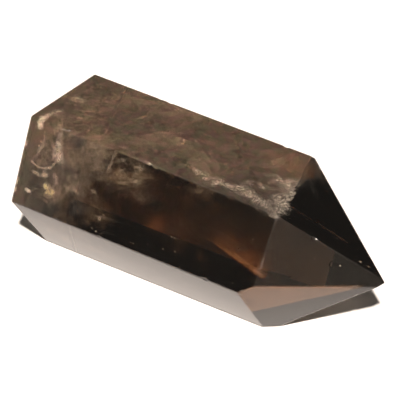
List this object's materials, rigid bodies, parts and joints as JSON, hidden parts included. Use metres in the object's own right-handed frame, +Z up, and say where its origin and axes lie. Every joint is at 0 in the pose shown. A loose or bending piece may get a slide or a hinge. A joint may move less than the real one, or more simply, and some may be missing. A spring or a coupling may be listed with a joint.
{
  "type": "polished smoky quartz point",
  "caption": "Polished hexagonal crystal of dark brown, cloudy smoky quartz with a sawn base and a faceted tip, lying on a prism face as a display stone.",
  "frame": {"origin": "bottom centre of the crystal's box, on the surface that it rests on", "axes": "+X along the crystal towards its tip, +Z up, square to the prism face that it rests on, -Y the side with the sharp front edge that the picture shows"},
  "size_m": [0.091, 0.0442, 0.0343],
  "materials": {
    "smoky_quartz": "polished, cloudy dark brown quartz with white internal fractures"
  },
  "bodies": {
    "root": {"smoky_quartz_point": "smoky_quartz"}
  },
  "joints": []
}
